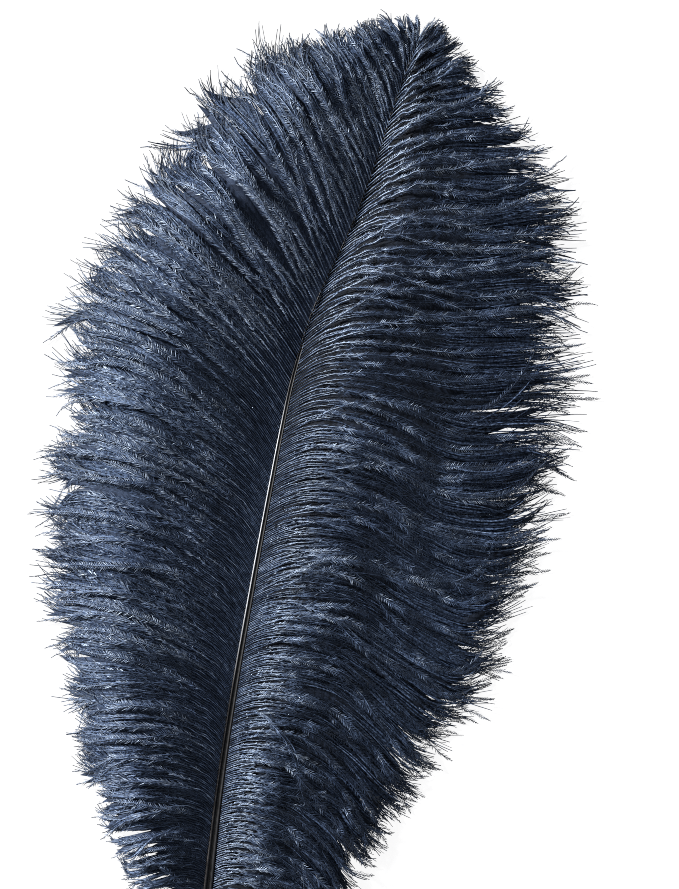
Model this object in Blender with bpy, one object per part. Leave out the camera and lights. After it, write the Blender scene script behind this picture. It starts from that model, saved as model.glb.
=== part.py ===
# An ostrich plume lying with the groove of its shaft upwards, quill at -Y and tip at +Y.
# Quill, shaft and vanes grew as one piece and are one closed mesh. The shaft is a row of rings
# with a groove on top and a flat sole. Its sides open into two vanes, each a row of locks that
# are joined side by side near the shaft and part into pointed fingers towards the edge.
# A vane rises from the shaft to a crest and falls away to its tips, like a low pitched roof.
import bisect
import math
import random

import bmesh
import bpy

MM = 0.001

# Driving dimensions in millimetres, angles in degrees. "along" runs from the quill's end to the
# tip, "across" is to the right of the straight line between those two ends.
SHAFT_END = 458.0
VANE_START = 42.0
LOCKS_PER_VANE = 36
LOCK_CROWDING = 1.12  # above 1, the locks sit closer together towards the tip

# The shaft's bow: along, across.
SHAFT_PATH = (
    (0, 0.0), (35, -4.8), (70, -9.0), (112, -13.3), (154, -16.2), (194, -18.0), (244, -19.8),
    (288, -20.8), (308, -20.2), (327, -18.4), (346, -14.8), (363, -10.8), (378, -8.0),
    (402, -5.0), (430, -2.2), (458, 1.6),
)
# The shaft's width: along, width.
SHAFT_WIDTH = (
    (0, 3.0), (2, 4.0), (8, 4.6), (25, 5.0), (70, 4.7), (112, 4.0), (154, 3.5), (244, 2.7),
    (306, 2.1), (363, 1.6), (420, 1.2), (458, 1.0),
)
SHAFT_HEIGHT_SHARE = 0.86  # height over width
SHAFT_LIFT_START = 300.0  # from here the shaft leaves the surface
SHAFT_LIFT_TIP = 5.0
GROOVE_START = 30.0
GROOVE_FULL = 62.0
QUILL_RINGS = (0.0, 0.8, 3.0, 8.0, 16.0, 25.0, 34.0)

# How barbs grow: along, then the barb's heading above the sideways direction at its root, its
# quarters and its tip, then its length.
RIGHT_BARBS = (
    (42, 40, -25, -55, -60, -50, 45),
    (70, 45, -5, -35, -45, -35, 82),
    (92, 45, 0, -30, -48, -35, 85),
    (127, 45, 5, -28, -40, -15, 94),
    (163, 45, 5, -28, -32, 10, 109),
    (199, 45, 7, -24, -18, 34, 124),
    (234, 45, 8, -24, -4, 36, 128),
    (270, 45, 2, -20, 20, 30, 130),
    (306, 50, 18, 10, 17, 10, 126),
    (344, 50, 15, 8, 25, 20, 116),
    (381, 50, 25, 8, 12, 20, 90),
    (418, 56, 40, 32, 26, 20, 51),
    (436, 62, 54, 48, 44, 40, 32),
    (458, 74, 72, 70, 68, 66, 12),
)
LEFT_BARBS = (
    (42, 40, -10, -40, -50, -50, 26),
    (70, 45, 0, -20, -35, -45, 42),
    (92, 50, 5, -12, -25, -40, 56),
    (127, 50, 15, -5, -22, -35, 74),
    (163, 50, 22, 12, -2, -20, 99),
    (199, 50, 25, 10, -5, -38, 108),
    (234, 50, 24, 14, 2, -28, 112),
    (270, 48, 34, 14, 6, -10, 120),
    (306, 45, 38, 30, 20, -10, 107),
    (325, 48, 44, 39, 30, 7, 98),
    (344, 52, 51, 48, 40, 22, 93),
    (381, 58, 54, 52, 47, 36, 80),
    (400, 60, 54, 50, 44, 33, 68),
    (418, 62, 54, 48, 41, 31, 52),
    (436, 68, 60, 50, 40, 32, 35),
    (458, 86, 84, 80, 76, 72, 10),
)
HEADINGS = 5
CURVE_STEPS = 40

# The roof of each vane: along, height of the crest above the surface.
CREST_HEIGHT = (
    (42, 6.0), (70, 10.5), (110, 16.0), (160, 19.0), (240, 20.0), (330, 19.0), (390, 15.0),
    (430, 11.0), (458, 8.0),
)
RIGHT_CREST_AT = 0.30  # share of the barb's length, from the shaft
LEFT_CREST_AT = 0.44
ROOT_HEIGHT_SHARE = 0.56  # where the vanes leave the shaft, as a share of its height
TIP_HEIGHT = 0.8

LOCK_STATIONS = (0.0, 0.07, 0.16, 0.27, 0.40, 0.54, 0.68, 0.80, 0.91, 1.0)
LOCK_SPLIT = 6  # station where neighbouring locks part
FINGER_POWER = 0.8  # how quickly a parted finger narrows
RIDGE_RISE = 1.7  # top of a lock above the mid surface
RIDGE_DROP = 0.7
PARTING_SINK = 1.0
PARTING_HALF = 0.45  # half the thickness where two locks meet
FINGER_HALF = 0.25  # half the thickness along a parted finger's edge
ROOT_HALF = 0.1  # added half thickness that fades in from the shaft's own side
SWELL_STATION = 0.16  # the vane has its full thickness from this station on
LENGTH_SCATTER = 0.06
HEIGHT_SCATTER = 1.2
SWAY_SCATTER = 4.0
SEED = 11

DYE_COLOUR = (0.035, 0.046, 0.075, 1.0)
DYE_ROUGHNESS = 0.62


def smooth_read(table, at):
    """Values of a table (station, values...) at a station, by a cubic through its rows."""
    stations = [row[0] for row in table]
    last = len(table) - 1
    upper = min(max(bisect.bisect_right(stations, at), 1), last)
    lower = upper - 1
    gap = stations[upper] - stations[lower]
    share = min(max((at - stations[lower]) / gap, 0.0), 1.0)

    def slope(row, column):
        before = max(row - 1, 0)
        after = min(row + 1, last)
        rise = table[after][column] - table[before][column]
        return rise / (stations[after] - stations[before])

    values = []
    for column in range(1, len(table[0])):
        start = table[lower][column]
        end = table[upper][column]
        leave = slope(lower, column) * gap
        arrive = slope(upper, column) * gap
        cubic = 2.0 * (start - end) + leave + arrive
        square = 3.0 * (end - start) - 2.0 * leave - arrive
        values.append(((cubic * share + square) * share + leave) * share + start)
    return values


def ease(share):
    share = min(max(share, 0.0), 1.0)
    return share * share * (3.0 - 2.0 * share)


def shaft_across(along):
    return smooth_read(SHAFT_PATH, along)[0]


def shaft_lean(along):
    """Angle of the shaft's direction from +Y towards +X."""
    return math.atan((shaft_across(along + 1.0) - shaft_across(along - 1.0)) / 2.0)


def shaft_sole(along):
    share = (along - SHAFT_LIFT_START) / (SHAFT_END - SHAFT_LIFT_START)
    return SHAFT_LIFT_TIP * ease(share)


def shaft_height(along):
    return smooth_read(SHAFT_WIDTH, along)[0] * SHAFT_HEIGHT_SHARE


def shaft_ring(along):
    """The shaft's section: right side, over the groove, left side, under the flat sole."""
    width = smooth_read(SHAFT_WIDTH, along)[0]
    height = shaft_height(along)
    groove = ease((along - GROOVE_START) / (GROOVE_FULL - GROOVE_START))
    groove_floor = 1.0 - 0.30 * groove
    lip = 0.94 + 0.06 * groove
    section = (
        (0.50, 0.70), (0.30, lip), (0.0, groove_floor), (-0.30, lip), (-0.50, 0.70),
        (-0.50, 0.42), (-0.34, 0.10), (-0.17, 0.0), (0.17, 0.0), (0.34, 0.10), (0.50, 0.42),
    )
    lean = shaft_lean(along)
    ring = []
    for side, up in section:
        x = shaft_across(along) + side * width * math.cos(lean)
        y = along - side * width * math.sin(lean)
        ring.append((x, y, shaft_sole(along) + up * height))
    return ring


def barb_path(side, along, stretch=1.0, sway=0.0):
    """Points of a barb in plan at the lock stations; side is 1 for right and -1 for left."""
    row = smooth_read(RIGHT_BARBS if side > 0 else LEFT_BARBS, along)
    length = row[HEADINGS] * stretch
    x = shaft_across(along)
    y = along
    points = [(x, y)]
    for step in range(CURVE_STEPS):
        share = (step + 0.5) / CURVE_STEPS
        quarter = min(int(share * (HEADINGS - 1)), HEADINGS - 2)
        blend = ease(share * (HEADINGS - 1) - quarter)
        heading = row[quarter] * (1.0 - blend) + row[quarter + 1] * blend + sway * share
        x += side * math.cos(math.radians(heading)) * length / CURVE_STEPS
        y += math.sin(math.radians(heading)) * length / CURVE_STEPS
        points.append((x, y))
    path = []
    for station in LOCK_STATIONS:
        place = station * CURVE_STEPS
        index = min(int(place), CURVE_STEPS - 1)
        share = place - index
        start = points[index]
        end = points[index + 1]
        path.append((start[0] + (end[0] - start[0]) * share, start[1] + (end[1] - start[1]) * share))
    return path


def roof_height(side, along, station):
    """Height of a vane's mid surface at a share of the barb's length."""
    root = shaft_sole(along) + ROOT_HEIGHT_SHARE * shaft_height(along)
    crest = smooth_read(CREST_HEIGHT, along)[0]
    crest_at = RIGHT_CREST_AT if side > 0 else LEFT_CREST_AT
    if station < crest_at:
        return root + (crest - root) * math.sin(math.pi / 2.0 * station / crest_at)
    fall = (station - crest_at) / (1.0 - crest_at)
    return TIP_HEIGHT + (crest - TIP_HEIGHT) * math.cos(math.pi / 2.0 * fall)


class Plume:
    """Vertices and faces of the whole plume while it is put together."""

    def __init__(self):
        self.mesh = bmesh.new()
        self.dice = random.Random(SEED)

    def point(self, x, y, z):
        return self.mesh.verts.new((x * MM, y * MM, max(z, 0.0) * MM))

    def face(self, *corners):
        self.mesh.faces.new(corners)

    def pair(self, x, y, z, above, below):
        """A top and a bottom vertex on one spot of a vane."""
        return self.point(x, y, z + above), self.point(x, y, z - below)

    def skin(self, one, two):
        """Top and bottom faces between two lines of (top, bottom) pairs."""
        for here in range(len(one) - 1):
            there = here + 1
            self.face(one[here][0], one[there][0], two[there][0], two[here][0])
            self.face(one[here][1], two[here][1], two[there][1], one[there][1])

    def wall(self, line):
        """The open edge of a vane or finger, from top to bottom."""
        for here in range(len(line) - 1):
            self.face(line[here][0], line[here][1], line[here + 1][1], line[here + 1][0])

    def close_tip(self, line_a, ridge, line_b, tip):
        for left, right in ((line_a[-1], ridge[-1]), (ridge[-1], line_b[-1])):
            self.face(left[0], right[0], tip)
            self.face(left[1], right[1], tip)
        self.face(line_a[-1][0], line_a[-1][1], tip)
        self.face(line_b[-1][0], line_b[-1][1], tip)


def parting_line(plume, side, along, path, root):
    """The joined part of the line between two locks, from the shaft's own side vertices."""
    line = [root]
    for index in range(1, LOCK_SPLIT + 1):
        station = LOCK_STATIONS[index]
        swell = math.sin(math.pi / 2.0 * min(station / SWELL_STATION, 1.0))
        half = PARTING_HALF * swell + ROOT_HALF
        x, y = path[index]
        z = roof_height(side, along, station) - PARTING_SINK * swell
        line.append(plume.pair(x, y, z, half, half))
    return line


def add_lock(plume, side, start, end, roots, parting_a, parting_b, paths):
    """One lock between two parting lines: joined part, then the pointed finger."""
    middle = (start + end) / 2.0
    stretch = 1.0 + plume.dice.uniform(-LENGTH_SCATTER, LENGTH_SCATTER)
    lift = plume.dice.uniform(-HEIGHT_SCATTER, HEIGHT_SCATTER)
    ridge_path = barb_path(side, middle, stretch, plume.dice.uniform(-SWAY_SCATTER, SWAY_SCATTER))
    last = len(LOCK_STATIONS) - 1
    ridge = [roots]
    for index in range(1, last):
        station = LOCK_STATIONS[index]
        swell = math.sin(math.pi * station) ** 0.5
        z = roof_height(side, middle, station) + lift * math.sin(math.pi * station)
        x, y = ridge_path[index]
        ridge.append(plume.pair(x, y, z, RIDGE_RISE * swell, RIDGE_DROP * swell))
    edges = []
    for parting, path in ((parting_a, paths[0]), (parting_b, paths[1])):
        edge = list(parting[:LOCK_SPLIT + 1])
        for index in range(LOCK_SPLIT + 1, last):
            station = LOCK_STATIONS[index]
            share = (station - LOCK_STATIONS[LOCK_SPLIT]) / (1.0 - LOCK_STATIONS[LOCK_SPLIT])
            spread = (1.0 - share) ** FINGER_POWER
            x = ridge_path[index][0] + (path[index][0] - ridge_path[index][0]) * spread
            y = ridge_path[index][1] + (path[index][1] - ridge_path[index][1]) * spread
            z = roof_height(side, middle, station) - PARTING_SINK
            edge.append(plume.pair(x, y, z, FINGER_HALF, FINGER_HALF))
        plume.skin(edge, ridge)
        plume.wall(edge[LOCK_SPLIT:])
        edges.append(edge)
    x, y = ridge_path[last]
    tip = plume.point(x, y, TIP_HEIGHT - FINGER_HALF)
    plume.close_tip(edges[0], ridge, edges[1], tip)


def build_plume():
    plume = Plume()
    partings = []
    span = SHAFT_END - VANE_START
    for index in range(LOCKS_PER_VANE + 1):
        share = index / LOCKS_PER_VANE
        partings.append(VANE_START + span * (1.0 - (1.0 - share) ** LOCK_CROWDING))
    places = list(QUILL_RINGS)
    first_vane_ring = len(places)
    for index in range(LOCKS_PER_VANE):
        places.append(partings[index])
        places.append((partings[index] + partings[index + 1]) / 2.0)
    places.append(partings[-1])

    rings = [[plume.point(*spot) for spot in shaft_ring(place)] for place in places]
    sides = len(rings[0])
    right_side = sides - 1  # between the last vertex and the first
    left_side = 4
    for index in range(len(rings) - 1):
        for side in range(sides):
            open_side = side in (left_side, right_side)
            if index >= first_vane_ring and open_side:
                continue
            after = (side + 1) % sides
            plume.face(rings[index][side], rings[index][after],
                       rings[index + 1][after], rings[index + 1][side])
    plume.face(*rings[0])
    plume.face(*rings[-1])

    for side, top, bottom in ((1, 0, sides - 1), (-1, left_side, left_side + 1)):
        lines = []
        paths = []
        for index, along in enumerate(partings):
            ring = rings[first_vane_ring + 2 * index]
            path = barb_path(side, along)
            paths.append(path)
            root = (ring[top], ring[bottom])
            lines.append(parting_line(plume, side, along, path, root))
        plume.wall(lines[0])
        plume.wall(lines[-1])
        for index in range(LOCKS_PER_VANE):
            ring = rings[first_vane_ring + 2 * index + 1]
            add_lock(plume, side, partings[index], partings[index + 1],
                     (ring[top], ring[bottom]), lines[index], lines[index + 1],
                     (paths[index], paths[index + 1]))
    return plume.mesh


def centre_on_origin(mesh):
    """The middle of the plume's box, at its lowest point, is the origin."""
    for axis in (0, 1):
        values = [vert.co[axis] for vert in mesh.verts]
        middle = (min(values) + max(values)) / 2.0
        for vert in mesh.verts:
            vert.co[axis] -= middle


def dye_material():
    material = bpy.data.materials.new("dyed_barbs")
    material.use_nodes = True
    shader = material.node_tree.nodes["Principled BSDF"]
    shader.inputs["Base Color"].default_value = DYE_COLOUR
    shader.inputs["Roughness"].default_value = DYE_ROUGHNESS
    shader.inputs["Metallic"].default_value = 0.0
    return material


def build_feather():
    mesh = build_plume()
    bmesh.ops.recalc_face_normals(mesh, faces=mesh.faces)
    bmesh.ops.triangulate(mesh, faces=mesh.faces)
    centre_on_origin(mesh)
    data = bpy.data.meshes.new("feather")
    mesh.to_mesh(data)
    mesh.free()
    data.shade_smooth()
    data.set_sharp_from_angle(angle=math.radians(50.0))
    data.materials.append(dye_material())
    feather = bpy.data.objects.new("feather", data)
    bpy.context.scene.collection.objects.link(feather)
    return feather


for old in list(bpy.data.objects):
    bpy.data.objects.remove(old)
build_feather()
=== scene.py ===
import math
import random
from types import SimpleNamespace

import bpy
import numpy as np
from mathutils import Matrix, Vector

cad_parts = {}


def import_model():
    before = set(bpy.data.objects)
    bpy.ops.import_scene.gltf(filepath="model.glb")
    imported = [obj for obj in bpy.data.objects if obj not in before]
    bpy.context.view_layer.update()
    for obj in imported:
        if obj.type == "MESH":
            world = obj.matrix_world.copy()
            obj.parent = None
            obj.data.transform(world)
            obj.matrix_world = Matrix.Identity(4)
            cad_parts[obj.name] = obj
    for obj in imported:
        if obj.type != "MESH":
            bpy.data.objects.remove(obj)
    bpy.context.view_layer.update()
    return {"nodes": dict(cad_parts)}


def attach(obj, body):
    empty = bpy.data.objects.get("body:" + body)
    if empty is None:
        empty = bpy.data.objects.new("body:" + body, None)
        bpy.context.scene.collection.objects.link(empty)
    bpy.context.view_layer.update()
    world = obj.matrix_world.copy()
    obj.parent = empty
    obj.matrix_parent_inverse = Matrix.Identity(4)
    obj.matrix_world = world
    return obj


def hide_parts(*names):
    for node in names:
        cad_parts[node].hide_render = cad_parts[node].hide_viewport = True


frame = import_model()
print("frame loaded")

mm = 0.001

# How the plume grew, in millimetres and degrees. "along" runs from the quill's end to the tip and
# "across" is to the right of the straight line between them, as in the part's own source.
growth = {
    "shaftEnd": 458.0,
    "vaneStart": 42.0,
    "locks": 36,
    "crowding": 1.12,
    "shaftPath": (
        (0, 0.0), (35, -4.8), (70, -9.0), (112, -13.3), (154, -16.2), (194, -18.0), (244, -19.8),
        (288, -20.8), (308, -20.2), (327, -18.4), (346, -14.8), (363, -10.8), (378, -8.0),
        (402, -5.0), (430, -2.2), (458, 1.6)),
    "shaftWidth": (
        (0, 3.0), (2, 4.0), (8, 4.6), (25, 5.0), (70, 4.7), (112, 4.0), (154, 3.5), (244, 2.7),
        (306, 2.1), (363, 1.6), (420, 1.2), (458, 1.0)),
    "heightShare": 0.86,
    "liftStart": 300.0,
    "liftTip": 5.0,
    # along, heading at the root, the quarters and the tip, then the barb's length
    "rightBarbs": (
        (42, 40, -25, -55, -60, -50, 45), (70, 45, -5, -35, -45, -35, 82),
        (92, 45, 0, -30, -48, -35, 85), (127, 45, 5, -28, -40, -15, 94),
        (163, 45, 5, -28, -32, 10, 109), (199, 45, 7, -24, -18, 34, 124),
        (234, 45, 8, -24, -4, 36, 128), (270, 45, 2, -20, 20, 30, 130),
        (306, 50, 18, 10, 17, 10, 126), (344, 50, 15, 8, 25, 20, 116),
        (381, 50, 25, 8, 12, 20, 90), (418, 56, 40, 32, 26, 20, 51),
        (436, 62, 54, 48, 44, 40, 32), (458, 74, 72, 70, 68, 66, 12)),
    "leftBarbs": (
        (42, 40, -10, -40, -50, -50, 26), (70, 45, 0, -20, -35, -45, 42),
        (92, 50, 5, -12, -25, -40, 56), (127, 50, 15, -5, -22, -35, 74),
        (163, 50, 22, 12, -2, -20, 99), (199, 50, 25, 10, -5, -38, 108),
        (234, 50, 24, 14, 2, -28, 112), (270, 48, 34, 14, 6, -10, 120),
        (306, 45, 38, 30, 20, -10, 107), (325, 48, 44, 39, 30, 7, 98),
        (344, 52, 51, 48, 40, 22, 93), (381, 58, 54, 52, 47, 36, 80),
        (400, 60, 54, 50, 44, 33, 68), (418, 62, 54, 48, 41, 31, 52),
        (436, 68, 60, 50, 40, 32, 35), (458, 86, 84, 80, 76, 72, 10)),
    "crestHeight": (
        (42, 6.0), (70, 10.5), (110, 16.0), (160, 19.0), (240, 20.0), (330, 19.0), (390, 15.0),
        (430, 11.0), (458, 8.0)),
    "rightCrestAt": 0.30,
    "rightStraight": 0.7,
    "leftCrestAt": 0.60,
    "leftEven": 0.8,
    "rootHeightShare": 0.56,
    "tipHeight": 0.8,
}
steps = 40  # a barb is drawn in this many steps


def readTable(table, at):
    # a smooth curve through the rows of a table, read at many places at once
    rows = np.array(table, float)
    place = np.atleast_1d(np.asarray(at, float))
    stations = rows[:, 0]
    values = rows[:, 1:]
    slopes = np.empty_like(values)
    slopes[1:-1] = (values[2:] - values[:-2]) / (stations[2:] - stations[:-2])[:, None]
    slopes[0] = (values[1] - values[0]) / (stations[1] - stations[0])
    slopes[-1] = (values[-1] - values[-2]) / (stations[-1] - stations[-2])
    upper = np.clip(np.searchsorted(stations, place, side="right"), 1, len(stations) - 1)
    lower = upper - 1
    gap = (stations[upper] - stations[lower])[:, None]
    share = np.clip((place - stations[lower])[:, None] / gap, 0.0, 1.0)
    start, end = values[lower], values[upper]
    leave, arrive = slopes[lower] * gap, slopes[upper] * gap
    cubic = 2.0 * (start - end) + leave + arrive
    square = 3.0 * (end - start) - 2.0 * leave - arrive
    return ((cubic * share + square) * share + leave) * share + start


def ease(share):
    share = np.clip(share, 0.0, 1.0)
    return share * share * (3.0 - 2.0 * share)


def after(at, start, over):
    # 0 up to a start, then softly up to 1
    return ease((at - start) / over)


def before(at, end, over):
    # 1 lower down, then softly down to 0 at the end
    return ease((end - at) / over)


def hump(at, middle, width):
    return np.exp(-((at - middle) / width) ** 2)


def wave(turns):
    return np.sin(2 * math.pi * turns)


def ofSide(side, pair):
    # a pair holds the left vane's value, then the right vane's
    return pair[0] if side < 0 else pair[1]


def lockTable(side):
    return growth["rightBarbs" if side > 0 else "leftBarbs"]


def shaftAcross(along):
    return readTable(growth["shaftPath"], along)[:, 0]


def shaftWidth(along):
    return readTable(growth["shaftWidth"], along)[:, 0]


def shaftSole(along):
    start = growth["liftStart"]
    return growth["liftTip"] * ease((np.asarray(along) - start) / (growth["shaftEnd"] - start))


def roofHeight(side, along, station):
    # height of a vane's middle surface; along is one value per barb, station one row per barb
    root = shaftSole(along) + growth["rootHeightShare"] * growth["heightShare"] * shaftWidth(along)
    crest = readTable(growth["crestHeight"], along)[:, 0]
    crestAt = growth["rightCrestAt"] if side > 0 else growth["leftCrestAt"]
    station = np.clip(station, 0.0, 1.0)
    even = growth["leftEven"] if side < 0 else 0.0
    climb = station / crestAt
    rounded = np.sin(math.pi / 2.0 * climb)
    steady = 1.06 * climb - 0.06 * climb ** 14
    rise = root[:, None] + (crest - root)[:, None] * (rounded * (1.0 - even) + steady * even)
    fall = (station - crestAt) / (1.0 - crestAt)
    tip = growth["tipHeight"]
    straight = growth["rightStraight"] if side > 0 else 0.0
    shape = (1.0 - straight) * np.cos(math.pi / 2.0 * fall) + straight * (1.0 - fall)
    drop = tip + (crest[:, None] - tip) * shape
    return np.where(station < crestAt, rise, drop)


def growBarbs(side, along, reach, bend, early=None):
    # plan of barbs, one row each; bend is added to the headings, in degrees, and a barb whose
    # early is over 1 takes its turns later than the others
    rows = readTable(lockTable(side), along)
    share = (np.arange(steps) + 0.5)[None, :] / steps * reach[:, None]
    share = np.minimum(share, 0.9999)
    if early is not None:
        share = share ** (1.0 + (early[:, None] - 1.0) * ease((share - 0.08) / 0.35))
    quarter = np.minimum((share * 4.0).astype(int), 3)
    blend = ease(share * 4.0 - quarter)
    one = np.take_along_axis(rows[:, :5], quarter, axis=1)
    two = np.take_along_axis(rows[:, :5], quarter + 1, axis=1)
    heading = np.radians(one * (1.0 - blend) + two * blend + bend)
    stride = (rows[:, 5] * reach / steps)[:, None]
    plan = np.zeros((len(along), steps + 1, 2))
    plan[:, 0, 0] = shaftAcross(along)
    plan[:, 0, 1] = along
    plan[:, 1:, 0] = plan[:, :1, 0] + np.cumsum(side * np.cos(heading) * stride, axis=1)
    plan[:, 1:, 1] = plan[:, :1, 1] + np.cumsum(np.sin(heading) * stride, axis=1)
    return plan, rows[:, 5] * reach


def walkLines(lines, at):
    # the places on each line after so many of its steps
    low = np.minimum(at.astype(int), steps - 1)
    part = (at - low)[..., None]
    row = np.arange(len(lines))[:, None]
    return lines[row, low] * (1.0 - part) + lines[row, low + 1] * part


# The quill's end in the row frame, so that along and across can be turned into places.
cadMesh = frame["nodes"]["feather"].data
spots = np.empty(len(cadMesh.vertices) * 3)
cadMesh.vertices.foreach_get("co", spots)
spots = spots.reshape(-1, 3)
quillEnd = spots[spots[:, 1] < spots[:, 1].min() + 0.45 * mm]
originX = (quillEnd[:, 0].min() + quillEnd[:, 0].max()) / 2.0
originY = (quillEnd[:, 1].min() + quillEnd[:, 1].max()) / 2.0
print("quill end at", round(originX, 4), round(originY, 4))


def toFrame(points):
    # millimetres along and across to metres in the row frame
    placed = np.asarray(points, float) * mm
    placed[..., 0] += originX
    placed[..., 1] += originY
    return placed


# Neighbouring barbs close up into tufts towards their tips.
tuftShape = {
    "width": (3.0, 9.0),  # mm along the shaft that one tuft takes in
    "reach": 0.025,  # how much one tuft differs from the next: share of its length
    "sway": 1.6,  # degrees
    "wildSway": 1.2,  # so much more at the quill
    "curl": 8.0,
    "wave": 3.2,
    "lift": 0.9,  # mm
    "tone": 0.09,
    "round": 1.5,  # mm between the middle of a tuft and its sides
    "point": 0.05,  # share of its length by which its middle is longer
    "rollIn": 12.0,  # degrees that the left edge turns down along its middle
    "calm": 0.7,  # how much more evenly the right vane lies where it is widest
}
# Pairs are for the lower and the top barbs, and angles are in degrees, where no note says otherwise.
barbs = {
    "seed": 11,
    "pitch": ((42, 0.9), (240, 0.95), (290, 1.3), (340, 1.9), (458, 2.2)),  # along, mm between barbs
    "pitchChange": (0.75, 1.25),  # least and most share of that
    # along, share of the barbs that lie loose on top of the others
    "topShare": ((42, 0.30), (250, 0.30), (300, 0.42), (350, 0.60), (458, 0.70)),
    "strays": 0.34,  # share of the top barbs that stand clear of the others
    "reach": (1.04, 0.14),  # longest, and how much shorter the shortest are
    "ragged": (0.22, 0.14),  # and how much shorter still at the quill and at the tip
    # along, how much longer the barbs of the right and the left vane are than their lock
    "fuller": (
        (42, 1.0, 0.98), (70, 0.97, 0.98), (120, 0.96, 0.99), (158, 0.98, 0.99), (178, 0.955, 0.99),
        (198, 0.98, 0.99), (225, 1.0, 0.965), (255, 1.01, 0.965), (272, 0.98, 0.935),
        (282, 0.975, 0.925), (296, 1.065, 0.92), (312, 1.01, 0.985), (338, 1.0, 1.10),
        (362, 0.99, 1.06), (385, 0.98, 0.97), (420, 1.03, 0.90), (458, 1.04, 0.87)),
    # along, how unruly the barbs of the right and the left vane are
    "unruly": (
        (42, 2.0, 2.0), (70, 1.8, 1.8), (100, 1.5, 1.4), (150, 1.4, 1.1), (220, 1.3, 1.0),
        (300, 1.2, 1.15), (345, 1.4, 1.4), (400, 1.5, 1.4), (458, 1.3, 1.2)),
    "sway": (1.6, 6.2),
    "straySway": 6.0,
    "bendSway": 9.0,  # the right barbs lean this much back where the shaft bends
    "waveTurn": (2.6, 6.0),
    "curl": 16.0,
    "tipCurl": (40.0, 12.0),  # the tips of a tuft curl alike, like a wet brush: left and right vane
    "ownTipCurl": 13.0,
    "leftTipUp": 30.0,  # the left vane's upper tips turn up
    "still": 0.26,  # share of the length over which the left vane's barbs lie straight
    "early": (0.07, 0.08),  # how much the turns of a tuft and of a barb shift along it
    "pull": (0.25, 0.44),  # how far barbs close up into their tuft
    "leftPull": 0.7,  # share of that on the left vane
    "wildPull": 0.42,  # and so much more at the quill
    "strayPull": 0.1,
    "lift": (-0.7, 1.2),  # mm
    "uneven": 0.45,
    "strayLift": 1.4,
    "ripple": (0.6, 1.5),  # of the top barbs on the left and on the right, mm
    "lowRipple": 0.25,
    "fineBend": (0.14, 0.30),  # lower down and towards the tip, mm
    "points": 45,  # of each finished line, closer together towards the barb's root
    "thickness": (0.46, 0.34),  # root and tip, mm
    "topThicker": (-0.15, 0.35),  # share of the thickness, in the upper part of the plume
}
zones = {  # along the shaft: where something starts, and over how long it comes or goes
    "wild": (112.0, 40.0),  # below this, barbs lie ragged and apart
    "ribbed": (270.0, 70.0),  # above this, the left vane's barbs stand apart as ribs
    "apart": (285.0, 60.0),  # above this, barbules show on both sides of every barb
    "covered": (300.0, 22.0),  # above this, barbs hide the shaft
    "upper": (270.0, 60.0),  # above this, stems show more
    "tipsUp": (205.0, 60.0),  # above this, the left vane's tips turn up
    "last": (370.0, 40.0),  # above this, barbs differ more in length
}
middles = {  # along the shaft: where something is strongest, and how far it reaches
    "rolledIn": (265.0, 70.0),  # the left edge rolls in
    "calm": (285.0, 28.0),  # the right vane lies most evenly where it is widest
    "bend": (306.0, 11.0),  # the shaft bends
}


def lockHabits(side):
    # what sets one lock apart from the next, as in the part's own source: reach, lift and sway
    dice = random.Random(barbs["seed"])
    habits = []
    for _ in range(2 * growth["locks"]):
        habits.append((dice.uniform(-0.06, 0.06), dice.uniform(-1.2, 1.2), dice.uniform(-4.0, 4.0)))
    habits = np.array(habits)
    return habits[:growth["locks"]] if side > 0 else habits[growth["locks"]:]


def barbRoots(chance):
    roots = [growth["vaneStart"] + 0.5]
    while roots[-1] < growth["shaftEnd"] - 1.0:
        pitch = float(readTable(barbs["pitch"], roots[-1])[0, 0])
        roots.append(roots[-1] + pitch * chance.uniform(*barbs["pitchChange"]))
    return np.array(roots[:-1])


def gatherTufts(side, along, chance):
    start, end = growth["vaneStart"], growth["shaftEnd"]
    span, locks, crowding = end - start, growth["locks"], growth["crowding"]
    edges = [start - 1.0]
    while edges[-1] < end:
        narrower = 0.45 * max(0.0, 1.0 - (edges[-1] - 60.0) / 60.0)
        room = 0.55 + 0.45 * min(1.0, (end - edges[-1]) / 120.0) - narrower
        edges.append(edges[-1] + chance.uniform(*tuftShape["width"]) * room)
    edges = np.array(edges)
    count = len(edges) - 1
    own = np.clip(np.searchsorted(edges, along) - 1, 0, count - 1)
    centres = np.minimum((edges[:-1] + edges[1:]) / 2.0, end)
    aside = np.clip((along - centres[own]) / ((edges[own + 1] - edges[own]) / 2.0), -1.0, 1.0)

    habits = lockHabits(side)
    passed = 1.0 - (1.0 - (centres - start) / span).clip(0, 1) ** (1.0 / crowding)
    lock = np.clip((passed * locks).astype(int), 0, locks - 1)
    reach = 1.0 + 0.7 * habits[lock, 0] + chance.normal(0.0, tuftShape["reach"], count)
    lift = habits[lock, 1] + chance.normal(0.0, tuftShape["lift"], count)
    lockPlace = start + span * (1.0 - (1.0 - (np.arange(locks) + 0.5) / locks) ** crowding)
    sway = 0.7 * np.interp(centres, lockPlace, habits[:, 2])
    sway = sway + chance.normal(0.0, tuftShape["sway"], count)
    sway = sway * (1.0 + tuftShape["wildSway"] * before(centres, *zones["wild"]))
    curl = chance.normal(0.0, tuftShape["curl"], count)
    tone = chance.normal(0.0, tuftShape["tone"], count)
    calm = np.ones(count)
    if side < 0:
        curl = curl - tuftShape["rollIn"] * hump(centres, *middles["rolledIn"])
    else:
        calm = 1.0 - tuftShape["calm"] * hump(centres, *middles["calm"])
        sway, curl = sway * calm, curl * calm
    return SimpleNamespace(count=count, own=own, centres=centres, aside=aside, reach=reach, lift=lift,
                           sway=sway, curl=curl, tone=tone, calm=calm)


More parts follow.
